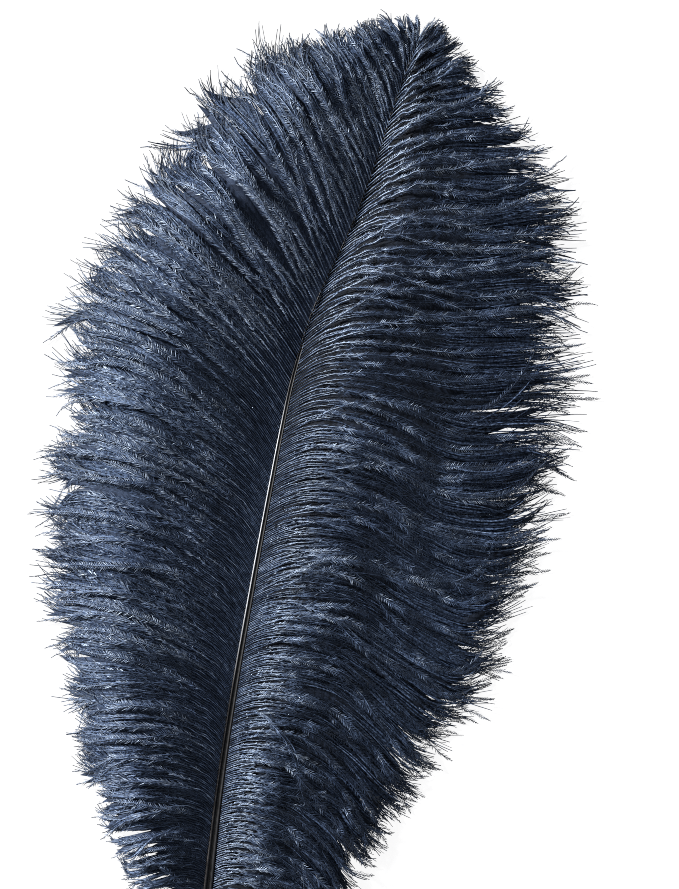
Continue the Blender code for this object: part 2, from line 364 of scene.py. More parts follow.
def looseBarbs(along, chance):
    # about one barb in three or four lies on top, and some of those stand clear of the others
    count = len(along)
    top = np.zeros(count, bool)
    at = 0.0
    while at < count:
        top[int(at)] = True
        at += chance.uniform(0.5, 1.5) / float(readTable(barbs["topShare"], along[int(at)])[0, 0])
    return top, top & (chance.random(count) < barbs["strays"])


def ofLayer(vane, name):
    return np.where(vane.top, barbs[name][1], barbs[name][0])


def vaneColumn(table, vane):
    # reads a table whose rows hold a value for the right and then for the left vane
    return readTable(table, vane.along)[:, 0 if vane.side > 0 else 1]


def bendBarbs(vane, chance):
    # the way of each barb seen from above
    side, along, tufts, count = vane.side, vane.along, vane.tufts, len(vane.along)
    own = tufts.own
    longest, shorter = barbs["reach"]
    ragged = barbs["ragged"][0] * vane.wild + barbs["ragged"][1] * after(along, *zones["last"])
    reach = tufts.reach[own] * (longest - (shorter + ragged) * chance.random(count) ** 2.0)
    reach = reach * vaneColumn(barbs["fuller"], vane)
    reach = reach * (1.0 + tuftShape["point"] * (0.4 - np.abs(tufts.aside) ** 1.5))

    unruly = vaneColumn(barbs["unruly"], vane)
    sway = chance.normal(0.0, 1.0, count) * ofLayer(vane, "sway")
    sway = sway + np.where(vane.stray, chance.normal(0.0, barbs["straySway"], count), 0.0)
    waveTurn = ofLayer(vane, "waveTurn") * chance.uniform(0.3, 1.5, count)
    phase = chance.uniform(0.0, 1.0, count)
    often = chance.uniform(0.8, 2.2, count)
    curl = chance.normal(0.0, barbs["curl"], count)
    tipCurl = chance.normal(0.0, ofSide(side, barbs["tipCurl"]), tufts.count)[own]
    tipCurl = tipCurl * (1.0 - 0.35 * after(along, 290.0, 60.0))
    tipCurl = tipCurl + chance.normal(0.0, barbs["ownTipCurl"], count)
    if side < 0:
        tipCurl = tipCurl + barbs["leftTipUp"] * after(along, *zones["tipsUp"])
    sway, waveTurn, curl = sway * unruly, waveTurn * unruly, curl * unruly
    if side > 0:
        sway = sway - barbs["bendSway"] * hump(along, *middles["bend"])
    pull = ofLayer(vane, "pull") * chance.uniform(0.1, 1.0, count)
    pull = pull * (1.0 if side > 0 else barbs["leftPull"]) + barbs["wildPull"] * vane.wild
    pull = np.where(vane.stray, barbs["strayPull"], pull) * tufts.calm[own]
    loose = np.where(vane.top, 1.0, 0.2)[:, None]  # lower barbs hardly follow their tuft

    mid = (np.arange(steps) + 0.5)[None, :] / steps * reach[:, None]
    late = after(mid, 0.70, 0.30)
    still = barbs["still"] * (1.0 - vane.ribbed)
    inner = np.clip((mid - still) / (1.0 - still), 0.0, 1.0)
    tuftOften = chance.uniform(0.8, 1.8, tufts.count)[own][:, None]
    tuftPhase = chance.uniform(0.0, 1.0, tufts.count)[own][:, None]
    shared = tufts.sway[own][:, None] * after(inner, 0.04, 0.4) + tufts.curl[own][:, None] * late
    shared = shared + (tuftShape["wave"] * (unruly * tufts.calm[own])[:, None]
                       * after(inner, 0.06, 0.3) * wave(tuftOften * mid + tuftPhase))
    turn = shared * loose + sway[:, None] * after(inner, 0.02, 0.18) + curl[:, None] * late
    turn = turn + tipCurl[:, None] * after(mid, 0.80, 0.18)
    turn = turn + (waveTurn[:, None] * after(inner, 0.05, 0.4)
                   * wave(often[:, None] * mid + phase[:, None]))

    def turnsEarly(change):
        return np.exp(change * unruly * (0.4 + 0.6 * vane.ribbed[:, 0]))

    tuftEarly = chance.normal(0.0, barbs["early"][0], tufts.count)[own]
    early = turnsEarly(tuftEarly + chance.normal(0.0, barbs["early"][1], count))
    ownPlan, vane.length = growBarbs(side, along, reach, turn, early)
    tuftPlan, _ = growBarbs(side, tufts.centres[own], reach, shared * loose, turnsEarly(tuftEarly))
    vane.station = np.arange(steps + 1)[None, :] / steps * reach[:, None]
    hold = pull[:, None] * after(vane.station, 0.22, 0.6) * (1.0 - 0.45 * after(vane.station, 0.8, 0.2))
    vane.plan = ownPlan + hold[..., None] * (tuftPlan - ownPlan)
    # the same barbs without their tufts, for the dark web of painted shade under them
    vane.evenPlan, _ = growBarbs(side, along, reach, 0.5 * tufts.sway[own][:, None] * mid)
    vane.phase, vane.loosely = phase, loose


def liftBarbs(vane, chance):
    # the height of each barb above the surface that the plume lies on
    side, along, tufts, station = vane.side, vane.along, vane.tufts, vane.station
    count = len(along)
    rough = chance.normal(0.0, 1.0, count)
    flutter = np.where(vane.top, ofSide(side, barbs["ripple"]), barbs["lowRipple"])
    flutter = chance.uniform(0.5, 1.3, count) * flutter
    ripples = chance.uniform(0.024, 0.046, count) * readTable(lockTable(side), along)[:, 5]
    freed = vane.ribbed * after(station, 0.0, 0.14) + (1.0 - vane.ribbed) * after(station, 0.2, 0.28)
    raised = tufts.lift[tufts.own][:, None] * vane.loosely * freed
    height = vane.roof + raised * (1.0 - 0.6 * after(station, 0.6, 0.4))
    own = ofLayer(vane, "lift") + barbs["uneven"] * rough
    height = height + own[:, None] * freed * (0.6 + 0.8 * station)
    bulge = tuftShape["round"] * (0.4 - tufts.aside ** 2)
    height = height + bulge[:, None] * freed * (1.0 - 0.7 * after(station, 0.7, 0.3))
    rippled = wave(ripples[:, None] * station + vane.phase[:, None])
    height = height + flutter[:, None] * rippled * after(station, 0.04, 0.22)
    height = height + np.where(vane.stray, barbs["strayLift"], 0.0)[:, None] * freed
    height = np.maximum(height, 0.45 + 0.25 * (vane.phase[:, None] + 0.5))
    topOfShaft = shaftSole(along) + growth["heightShare"] * shaftWidth(along) + 0.2
    over = (after(along, *zones["covered"]) * (topOfShaft - height[:, 0]))[:, None]
    return height + np.maximum(over, 0.0) * (1.0 - after(station, 0.0, 0.08))


def drawBarbs(vane, chance):
    # each line starts at the shaft's side and has closer points near its root
    along = vane.along
    rootHeading = np.radians(readTable(lockTable(vane.side), along)[:, 0])
    covered = after(along, *zones["covered"])
    first = 0.46 * (1.0 - covered) * shaftWidth(along) / np.cos(rootHeading) / vane.length
    drawn = np.linspace(0.0, 1.0, barbs["points"]) ** 1.25
    at = (first[:, None] + (1.0 - first[:, None]) * drawn[None, :]) * steps
    vane.lines = walkLines(vane.loose, at)
    vane.share = share = at / steps
    vane.walked = walked = share * vane.length[:, None]
    # small bends that break the light up along each barb
    bends = chance.uniform(0.0, 1.0, (5, len(along), 1))
    fine = wave(walked / (5.5 + 3.0 * bends[0]) + bends[1])
    fine = fine + wave(walked / (9.0 + 5.0 * bends[2]) + bends[3])
    fine = fine * after(share, 0.03, 0.12)
    fineBend = np.interp(along, (290.0, 350.0), barbs["fineBend"])[:, None]
    vane.lines[..., 1] += fineBend * fine
    upDown = wave(walked / (5.0 + 4.0 * bends[4]) + bends[0])
    vane.lines[..., 2] += fineBend * upDown * after(share, 0.02, 0.1)


shades = {  # how pale a barb is, from 0 to 1
    "middle": 0.5,
    "barbs": 0.18,  # how much one barb differs from the next
    "ribs": 0.5,  # and so much more among the left vane's ribs
    "layer": (-0.22, 0.24),  # painted shade on the lower barbs, in the top ones' shadow, and a painted highlight on the top barbs
    "longWave": 0.15,  # paler and darker again along a barb
    "shortWave": (0.13, 0.20),  # left and right vane
    "least": 0.04,
    "most": 0.96,
}


def shadeRight(vane, tone):
    # painted light on the right vane: a painted highlight on the shoulder beside the shaft, which faces
    # the light, and painted shade on the outer part, which faces away, deepest on the lower barbs and less
    # at both ends of the vane
    along, share = vane.along, vane.share
    sunny = 0.12 + 0.46 * before(along, 200.0, 130.0)
    tone = tone + sunny[:, None] * after(share, 0.02, 0.06) * (1.0 - after(share, 0.14, 0.18))
    shade = 0.15 + 0.24 * before(along, 250.0, 80.0) - 0.14 * after(along, 300.0, 50.0)
    shade = shade - 0.14 * before(along, 120.0, 50.0) - 0.2 * after(along, 390.0, 40.0)
    tone = tone - shade[:, None] * after(share, 0.28, 0.2)
    return tone - np.where(vane.top, 0.0, 0.12)[:, None] * after(share, 0.28, 0.2)


def shadeLeft(vane, tone):
    # painted light on the left vane: painted highlights on the ribs beside the shaft higher up, a painted
    # lit outer edge below them, and painted shade beside the shaft lower down, where the vane faces away
    # from the light
    share, ribbed = vane.share, vane.ribbed
    low = before(vane.along, 150.0, 60.0)[:, None]
    tone = tone - 0.10 * vane.wild[:, None] * after(share, 0.1, 0.3)
    tone = tone - 0.22 * low * (1.0 - after(share, 0.4, 0.25))
    tone = tone - 0.1 * (1.0 - ribbed) * (1.0 - after(share, 0.2, 0.2))
    tone = tone + (0.50 - 0.58 * ribbed) * after(share, 0.53, 0.25)
    return tone + np.where(vane.top, 0.46, 0.44)[:, None] * ribbed * (1.0 - after(share, 0.4, 0.3))


def shadeBarbs(vane, chance):
    share, walked, count = vane.share, vane.walked, len(vane.along)
    apart = vane.apart[:, None]
    uneven = 1.0 + shades["ribs"] * vane.ribbed[:, 0] * (vane.side < 0)
    tone = shades["middle"] + vane.tufts.tone[vane.tufts.own]
    tone = tone + chance.normal(0.0, shades["barbs"], count) * uneven
    # painted shade on the lower barbs and a painted highlight on the top ones
    layer = np.where(vane.top, shades["layer"][1], shades["layer"][0])[:, None]
    tone = tone[:, None] + layer * ease((share - 0.04 + 0.05 * apart) / (0.2 - 0.12 * apart))
    shifts = chance.uniform(0.0, 1.0, (2, count, 1))
    tone = tone + shades["longWave"] * wave(walked / (16.0 + 20.0 * shifts[0]) + shifts[1])
    short = ofSide(vane.side, shades["shortWave"]) * (1.0 + 0.6 * apart)
    tone = tone + short * wave(walked / (5.0 + 6.0 * shifts[1]) + 3.0 * shifts[0])
    tone = shadeRight(vane, tone) if vane.side > 0 else shadeLeft(vane, tone)
    return np.clip(tone, shades["least"], shades["most"])


def layOut(side):
    # all that the pieces need to know about the barbs of one vane, with a row for each barb
    chance = np.random.default_rng(barbs["seed"] + (1 if side > 0 else 2))
    along = barbRoots(chance)
    tufts = gatherTufts(side, along, chance)
    top, stray = looseBarbs(along, chance)
    vane = SimpleNamespace(side=side, along=along, tufts=tufts, top=top, stray=stray)
    vane.wild = before(along, *zones["wild"])
    vane.apart = after(along, *zones["apart"])
    vane.ribbed = after(along, *zones["ribbed"])[:, None] if side < 0 else np.ones((len(along), 1))
    bendBarbs(vane, chance)
    vane.roof = roofHeight(side, along, vane.station)
    vane.even = np.concatenate([vane.evenPlan, vane.roof[..., None]], axis=2)
    vane.loose = np.concatenate([vane.plan, liftBarbs(vane, chance)[..., None]], axis=2)
    drawBarbs(vane, chance)
    vane.tone = shadeBarbs(vane, chance)
    return vane


vanes = (layOut(-1), layOut(1))
print("barbs laid out:", sum(len(vane.along) for vane in vanes))


def guideObject(name, lines, attributes):
    # one mesh of open lines, with a value of each attribute on every point
    count, points = lines.shape[:2]
    places = toFrame(lines).reshape(-1, 3)
    starts = [row * points + at for row in range(count) for at in range(points - 1)]
    mesh = bpy.data.meshes.new(name)
    mesh.from_pydata(places.tolist(), [(start, start + 1) for start in starts], [])
    for label, values in attributes.items():
        layer = mesh.attributes.new(label, "FLOAT", "POINT")
        spread = np.broadcast_to(values, (count, points)).astype(np.float32).ravel()
        layer.data.foreach_set("value", spread)
    guide = bpy.data.objects.new(name, mesh)
    bpy.context.scene.collection.objects.link(guide)
    return guide


def newTree(name, sockets):
    tree = bpy.data.node_groups.new(name, "GeometryNodeTree")
    tree.interface.new_socket("Lines", in_out="INPUT", socket_type="NodeSocketGeometry")
    for label, kind, value in sockets:
        socket = tree.interface.new_socket(label, in_out="INPUT", socket_type="NodeSocket" + kind)
        if value is not None:
            socket.default_value = value
    tree.interface.new_socket("Geometry", in_out="OUTPUT", socket_type="NodeSocketGeometry")
    entry = tree.nodes.new("NodeGroupInput")
    return tree, entry.outputs


def put(tree, kind, inputs=(), **settings):
    # adds a node, sets its options, then fills or links its inputs by identifier or name
    node = tree.nodes.new(kind)
    for label, value in settings.items():
        setattr(node, label, value)
    for label, value in dict(inputs).items():
        found = [s for s in node.inputs if s.identifier == label] or [
            s for s in node.inputs if s.name == label and s.enabled]
        if isinstance(value, bpy.types.NodeSocket):
            tree.links.new(value, found[0])
        else:
            found[0].default_value = value
    return node


def outOf(tree, kind, inputs=(), **settings):
    return put(tree, kind, inputs, **settings).outputs[0]


def named(tree, label):
    return put(tree, "GeometryNodeInputNamedAttribute", {"Name": label}).outputs["Attribute"]


def sums(tree, kind, one, two=0.0, three=0.0):
    inputs = {"Value": one, "Value_001": two, "Value_002": three}
    return outOf(tree, "ShaderNodeMath", inputs, operation=kind)


def joined(tree, x, y, z=0.0):
    return outOf(tree, "ShaderNodeCombineXYZ", {"X": x, "Y": y, "Z": z})


def marked(tree, geometry, label, value):
    inputs = {"Geometry": geometry, "Name": label, "Value": value}
    kind = "GeometryNodeStoreNamedAttribute"
    return outOf(tree, kind, inputs, data_type="FLOAT", domain="POINT")


def uprightCurves(tree, entry):
    curve = outOf(tree, "GeometryNodeMeshToCurve", {"Mesh": entry["Lines"]})
    return outOf(tree, "GeometryNodeSetCurveNormal", {"Curve": curve}, mode="Z_UP")


def sweep(tree, curve, section, size, capped):
    inputs = {"Curve": curve, "Profile Curve": section, "Scale": size, "Fill Caps": capped}
    return outOf(tree, "GeometryNodeCurveToMesh", inputs)


def anyValue(tree, entry, low, high, number):
    # a random value for each point, other values for each number
    seed = sums(tree, "ADD", entry["Seed"], float(number))
    inputs = {"Min_001": low, "Max_001": high, "Seed": seed}
    return put(tree, "FunctionNodeRandomValue", inputs).outputs[1]


def anyChange(tree, entry, label, number):
    return sums(tree, "MULTIPLY", anyValue(tree, entry, -1.0, 1.0, number), entry[label])


def finishTree(tree, entry, geometry, u, v, smooth=True):
    # stores the piece's own map: tone of the strand across, place along it upwards
    inputs = {"Geometry": geometry, "Name": "OFBake", "Value": joined(tree, u, v)}
    kind = "GeometryNodeStoreNamedAttribute"
    mapped = outOf(tree, kind, inputs, data_type="FLOAT2", domain="CORNER")
    shading = {"Geometry": mapped, "Shade Smooth": smooth}
    shaded = outOf(tree, "GeometryNodeSetShadeSmooth", shading)
    realized = outOf(tree, "GeometryNodeRealizeInstances", {"Geometry": shaded})
    painting = {"Geometry": realized, "Material": entry["Finish"]}
    painted = outOf(tree, "GeometryNodeSetMaterial", painting)
    put(tree, "NodeGroupOutput", {"Geometry": painted})
    return tree


def rodTree():
    # sweeps a small closed section along every line
    sockets = [("Sides", "Int", 3), ("Thickness", "Float", 1.0), ("Finish", "Material", None)]
    tree, entry = newTree("BarbRods", sockets)
    size = sums(tree, "MULTIPLY", named(tree, "thick"), entry["Thickness"])
    circle = put(tree, "GeometryNodeCurvePrimitiveCircle", {"Resolution": entry["Sides"], "Radius": 0.5})
    around = put(tree, "GeometryNodeSplineParameter").outputs["Factor"]
    section = marked(tree, circle.outputs[0], "around", around)
    swept = sweep(tree, uprightCurves(tree, entry), section, size, True)
    u = sums(tree, "MULTIPLY_ADD", named(tree, "tone"), 0.94, 0.02)
    u = sums(tree, "ADD", u, sums(tree, "MULTIPLY", named(tree, "around"), 0.03))
    v = sums(tree, "MULTIPLY", named(tree, "share"), 0.98)
    return finishTree(tree, entry, swept, u, v)


def webTree():
    # a slightly ridged strip along every line
    sockets = [("Across", "Int", 3), ("Ridge", "Float", 0.35), ("Map Width", "Float", 0.03),
               ("Finish", "Material", None)]
    tree, entry = newTree("BarbWeb", sockets)
    tilt = {"Curve": uprightCurves(tree, entry), "Tilt": named(tree, "tilted")}
    tilted = outOf(tree, "GeometryNodeSetCurveTilt", tilt)
    ends = {"Count": entry["Across"], "Start Location": (-1.0, 0.0, 0.0), "Offset": (1.0, 0.0, 0.0)}
    line = outOf(tree, "GeometryNodeMeshLine", ends, mode="END_POINTS")
    place = outOf(tree, "GeometryNodeInputPosition")
    across = outOf(tree, "ShaderNodeSeparateXYZ", {"Vector": place})
    drop = sums(tree, "MULTIPLY", sums(tree, "ABSOLUTE", across), entry["Ridge"])
    bent = {"Geometry": line, "Position": joined(tree, across, drop)}
    bentLine = marked(tree, outOf(tree, "GeometryNodeSetPosition", bent), "around", across)
    section = outOf(tree, "GeometryNodeMeshToCurve", {"Mesh": bentLine})
    swept = sweep(tree, tilted, section, named(tree, "thick"), False)
    aside = sums(tree, "MULTIPLY", named(tree, "around"), entry["Map Width"])
    u = sums(tree, "ADD", named(tree, "tone"), aside)
    v = sums(tree, "MULTIPLY", named(tree, "share"), 0.98)
    return finishTree(tree, entry, swept, u, v)


def barbuleTree():
    # thin curved blades along every line, on its left and right in turn
    tree, entry = newTree("Barbules", [
        ("Blade", "Object", None), ("Spacing", "Float", 0.0003), ("Spread Change", "Float", 0.14),
        ("Droop Change", "Float", 0.10), ("Roll", "Float", 0.45), ("Tone Change", "Float", 0.13),
        ("Seed", "Int", 5), ("Finish", "Material", None)])
    curve = outOf(tree, "GeometryNodeMeshToCurve", {"Mesh": entry["Lines"]})
    spacing = {"Curve": curve, "Length": entry["Spacing"]}
    spaced = outOf(tree, "GeometryNodeResampleCurve", spacing, mode="LENGTH")
    tone = sums(tree, "ADD", named(tree, "tone"), anyChange(tree, entry, "Tone Change", 1))
    toned = marked(tree, spaced, "tone", tone)
    kept = sums(tree, "LESS_THAN", anyValue(tree, entry, 0.0, 1.0, 6), named(tree, "fill"))

    index = outOf(tree, "GeometryNodeInputIndex")
    turn = sums(tree, "SUBTRACT", sums(tree, "MULTIPLY", sums(tree, "MODULO", index, 2.0), 2.0), 1.0)
    spread = sums(tree, "ADD", named(tree, "spread"), anyChange(tree, entry, "Spread Change", 2))
    yaw = sums(tree, "MULTIPLY", spread, turn)
    pitch = sums(tree, "ADD", named(tree, "droop"), anyChange(tree, entry, "Droop Change", 3))
    turned = joined(tree, anyChange(tree, entry, "Roll", 4), pitch, yaw)
    tangent = outOf(tree, "GeometryNodeInputTangent")
    axes = {"Primary Axis": tangent, "Secondary Axis": (0.0, 0.0, 1.0)}
    base = outOf(tree, "FunctionNodeAxesToRotation", axes, primary_axis="X", secondary_axis="Z")
    local = outOf(tree, "FunctionNodeEulerToRotation", {"Euler": turned})
    both = {"Rotation": base, "Rotate By": local}
    rotation = outOf(tree, "FunctionNodeRotateRotation", both, rotation_space="LOCAL")
    length = sums(tree, "MULTIPLY", named(tree, "bladeLength"), anyValue(tree, entry, 0.7, 1.12, 5))
    scale = joined(tree, length, named(tree, "bladeWidth"), length)

    blade = put(tree, "GeometryNodeObjectInfo", {"Object": entry["Blade"]}).outputs["Geometry"]
    planting = {"Points": toned, "Selection": kept, "Instance": blade, "Rotation": rotation,
                "Scale": scale}
    planted = outOf(tree, "GeometryNodeInstanceOnPoints", planting)
    realized = outOf(tree, "GeometryNodeRealizeInstances", {"Geometry": planted})
    u = sums(tree, "MULTIPLY_ADD", named(tree, "tone"), 0.92, 0.04)
    v = sums(tree, "MULTIPLY", named(tree, "share"), 0.95)
    v = sums(tree, "ADD", v, sums(tree, "MULTIPLY", named(tree, "out"), 0.04))
    return finishTree(tree, entry, realized, u, v, smooth=False)


# attributes that only the trees need
working = ("tone", "share", "around", "thick", "out", "spread", "droop", "bladeLength", "bladeWidth",
           "fill", "tilted")


def grow(guide, tree, name, material, values):
    # runs a tree on a guide and keeps the result as one plain mesh
    modifier = guide.modifiers.new(tree.name, "NODES")
    modifier.node_group = tree
    sockets = {s.name: s.identifier for s in tree.interface.items_tree if s.in_out == "INPUT"}
    modifier[sockets["Finish"]] = material
    for label, value in values.items():
        modifier[sockets[label]] = value
    bpy.context.view_layer.update()
    depsgraph = bpy.context.evaluated_depsgraph_get()
    mesh = bpy.data.meshes.new_from_object(
        guide.evaluated_get(depsgraph), preserve_all_data_layers=True, depsgraph=depsgraph)
    mesh.name = name
    guide.modifiers.remove(modifier)
    bpy.data.objects.remove(guide)
    # what would reach below the surface that the plume lies on lies flat on it
    places = np.zeros(3 * len(mesh.vertices), np.float32)
    mesh.vertices.foreach_get("co", places)
    places[2::3] = np.maximum(places[2::3], 0.05 * mm)
    mesh.vertices.foreach_set("co", places)
    for label in [a.name for a in mesh.attributes]:
        if label in working:
            mesh.attributes.remove(mesh.attributes[label])
    if not mesh.materials:
        mesh.materials.append(material)
    piece = bpy.data.objects.new(name, mesh)
    bpy.context.scene.collection.objects.link(piece)
    print(name, "has", sum(len(p.vertices) - 2 for p in mesh.polygons), "triangles")
    return piece


def ridePlume(piece):
    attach(piece, "root")
    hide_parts("feather")


def ofVane(kind, side):
    return kind + ("_left" if side < 0 else "_right")


def newFinish(name, roughness, specular):
    material = bpy.data.materials.new(name)
    material.use_nodes = True
    tree = material.node_tree
    shader = tree.nodes["Principled BSDF"]
    shader.inputs["Roughness"].default_value = roughness
    shader.inputs["Specular IOR Level"].default_value = specular
    return material, tree, shader


def grey(level):
    return (level, level, level)


def ramp(tree, factor, stops):
    node = put(tree, "ShaderNodeValToRGB", {"Fac": factor})
    while len(node.color_ramp.elements) > 1:
        node.color_ramp.elements.remove(node.color_ramp.elements[-1])
    node.color_ramp.elements[0].position = stops[0][0]
    node.color_ramp.elements[0].color = (*stops[0][1], 1.0)
    for place, colour in stops[1:]:
        element = node.color_ramp.elements.new(place)
        element.color = (*colour, 1.0)
    return node.outputs["Color"]


def mixColours(tree, kind, factor, one, two):
    inputs = {"Factor_Float": factor, "A_Color": one, "B_Color": two}
    return put(tree, "ShaderNodeMix", inputs, data_type="RGBA", blend_type=kind).outputs[2]


def multiplied(tree, one, two):
    return mixColours(tree, "MULTIPLY", 1.0, one, two)


def mapParts(tree):
    # tone of the strand, and place along it
    where = put(tree, "ShaderNodeUVMap", uv_map="OFBake").outputs["UV"]
    parts = put(tree, "ShaderNodeSeparateXYZ", {"Vector": where})
    return parts.outputs["X"], parts.outputs["Y"]


def noise(tree, place, scale, detail):
    inputs = {"Vector": place, "Scale": scale, "Detail": detail}
    return put(tree, "ShaderNodeTexNoise", inputs).outputs["Fac"]


def strandFinish(name, look):
    # colour from the strand's tone, which carries painted light and shade, uneven dye over the vane, paler
    # or darker towards the tip
    material, tree, shader = newFinish(name, look["roughness"], look["specular"])
    toned, along = mapParts(tree)
    colour = multiplied(tree, ramp(tree, toned, look["tones"]), ramp(tree, along, look["alongTones"]))
    place = put(tree, "ShaderNodeTexCoord").outputs["Object"]
    cloud = noise(tree, place, look["cloudScale"], 3.0)
    colour = multiplied(tree, colour, ramp(tree, cloud, look["dye"]))
    fine = noise(tree, place, look["grainScale"], 1.0)
    colour = multiplied(tree, colour, ramp(tree, fine, look["grain"]))
    tree.links.new(colour, shader.inputs["Base Color"])
    shader.inputs["Specular Tint"].default_value = (0.72, 0.85, 1.0, 1.0)
    return material


dyeCloud = ((0.30, (0.78, 0.80, 0.86)), (0.52, grey(1.0)), (0.72, (1.18, 1.20, 1.22)))
evenGrain = ((0.36, (0.62, 0.62, 0.64)), (0.50, grey(1.0)), (0.64, (1.5, 1.5, 1.46)))
darkTips = ((0.0, grey(1.0)), (0.86, (0.9, 0.92, 0.95)), (0.97, (0.35, 0.35, 0.38)))
rodFinish = strandFinish("barb stems", {
    "tones": ((0.0, (0.016, 0.023, 0.042)), (0.45, (0.062, 0.089, 0.152)), (0.75, (0.125, 0.170, 0.265)),
              (1.0, (0.26, 0.32, 0.43))),
    "alongTones": darkTips,
    "cloudScale": 16.0, "dye": dyeCloud,
    "grainScale": 900.0, "grain": evenGrain,
    "roughness": 0.34, "specular": 0.7})
fringeFinish = strandFinish("loose barbules of the fringe", {
    "tones": ((0.0, (0.012, 0.017, 0.031)), (0.45, (0.054, 0.079, 0.138)), (0.75, (0.115, 0.158, 0.250)),
              (1.0, (0.26, 0.32, 0.43))),
    "alongTones": darkTips,
    "cloudScale": 16.0, "dye": dyeCloud,
    "grainScale": 1000.0,
    "grain": ((0.38, (0.30, 0.31, 0.34)), (0.50, grey(0.9)), (0.62, (1.7, 1.7, 1.65))),
    "roughness": 0.5, "specular": 0.35})
barbuleFinish = strandFinish("barbules", {
    "tones": ((0.0, (0.010, 0.015, 0.028)), (0.45, (0.037, 0.055, 0.099)), (0.8, (0.108, 0.148, 0.235)),
              (1.0, (0.29, 0.34, 0.42))),
    "alongTones": ((0.0, grey(1.0)), (0.88, (0.95, 0.96, 0.98)), (0.98, (0.5, 0.5, 0.54))),
    "cloudScale": 16.0, "dye": dyeCloud,
    "grainScale": 900.0, "grain": evenGrain,
    "roughness": 0.36, "specular": 0.6})

rods = rodTree()
glints = {  # how the stems catch the light, on top of their barb's own shade
    "seed": 71,
    "longWave": 0.22,
    "shortWave": 0.26,
    "plain": (-0.10, -0.26),  # all along a stem of the left and of the right vane
    "higher": (0.26, 0.28),  # a painted highlight that the upper stems add to that
    "least": 0.03,
    "most": 0.97,
}


def growRods(vane):
    side, share, top = vane.side, vane.share, vane.top
    root, tip = barbs["thickness"]
    thick = (tip + (root - tip) * (1.0 - share) ** 0.8) * mm
    thick = thick * (0.75 + 0.25 * np.minimum(1.0, vane.length / 60.0))[:, None]
    upper = after(vane.along, *zones["upper"])
    thick = thick * (1.0 + upper * ofLayer(vane, "topThicker"))[:, None]
    raised = vane.lines + np.array([0.0, 0.0, 0.14])

    chance = np.random.default_rng(glints["seed"] + side)
    places = chance.uniform(0.0, 1.0, (2, len(share), 1))
    glint = glints["longWave"] * wave(vane.walked / (14.0 + 20.0 * places[0]) + places[1])
    glint = glint + glints["shortWave"] * wave(vane.walked / (4.0 + 6.0 * places[1]) + places[0])
    glint = glint * (1.0 + 0.8 * upper)[:, None]
    plain = ofSide(side, glints["plain"]) + ofSide(side, glints["higher"]) * upper
    shift = np.where(top, plain + 0.04, plain)[:, None] * after(share, 0.06, 0.14)
    # painted shade on the lower stems near their root in the upper part, under the top barbs
    shift = shift - np.where(top, 0.0, 0.35 * upper)[:, None] * (1.0 - after(share, 0.25, 0.3))
    # painted shade on the right vane's outer stems, which face away from the light
    if side > 0:
        outside = np.where(top, 0.08, 0.26) * (1.0 - 0.6 * upper)
        shift = shift - outside[:, None] * after(share, 0.28, 0.2)
    tone = vane.tone + shift + glint * ease(share / (0.2 - 0.14 * upper[:, None]))
    tone = np.clip(tone, glints["least"], glints["most"])
    guide = guideObject("barb guide", raised, {"thick": thick, "tone": tone, "share": share})
    return grow(guide, rods, ofVane("barbs", side), rodFinish, {"Sides": 3, "Thickness": 1.0})


for vane in vanes:
    ridePlume(growRods(vane))

# A dark web of painted shade under the barbs, a ribbon for each barb, with chevrons like barbules on it.
# Its map has strips side by side, one for each kind of barb: two each for the right vane, the left vane,
# its upper ribs and its smooth part.
web = {
    "seed": 31,
    "drop": 2.0,  # mm under the barb
    "halfWidth": (1.2, 2.2),  # narrowest and widest, mm
    "end": ((0.90, 0.96), (0.86, 0.93)),  # shortest and longest, on the left and on the right
    "points": 21,  # of each ribbon
    "ridge": 0.8,
    "strips": 8,
    "stripWidth": 0.055,  # half of what a ribbon fills of the map's width
    "mapLength": 140.0,  # mm of barb in the map's height
    "countedLength": 143.0,  # the same as the chevrons count it
    "slant": 6.0,  # mm that the chevrons lean back
    "pitch": 1.25,  # mm from one chevron to the next
    # painted shade in the gaps between the strands, and the strands themselves, from the first strip to
    # the last
    "gaps": ((0.0, (0.0045, 0.0065, 0.011)), (0.43, (0.006, 0.009, 0.018)), (0.57, (0.017, 0.025, 0.044)),
             (0.71, (0.019, 0.027, 0.048)), (1.0, (0.020, 0.029, 0.052))),
    "strands": ((0.0, (0.017, 0.024, 0.041)), (0.43, (0.034, 0.049, 0.088)), (0.57, (0.044, 0.062, 0.108)),
                (0.71, (0.052, 0.073, 0.125)), (1.0, (0.058, 0.082, 0.140))),
    # painted shade, darker towards the barb's root
    "rootShade": ((0.0, grey(0.15)), (0.06, grey(0.25)), (0.24, grey(1.0))),
}


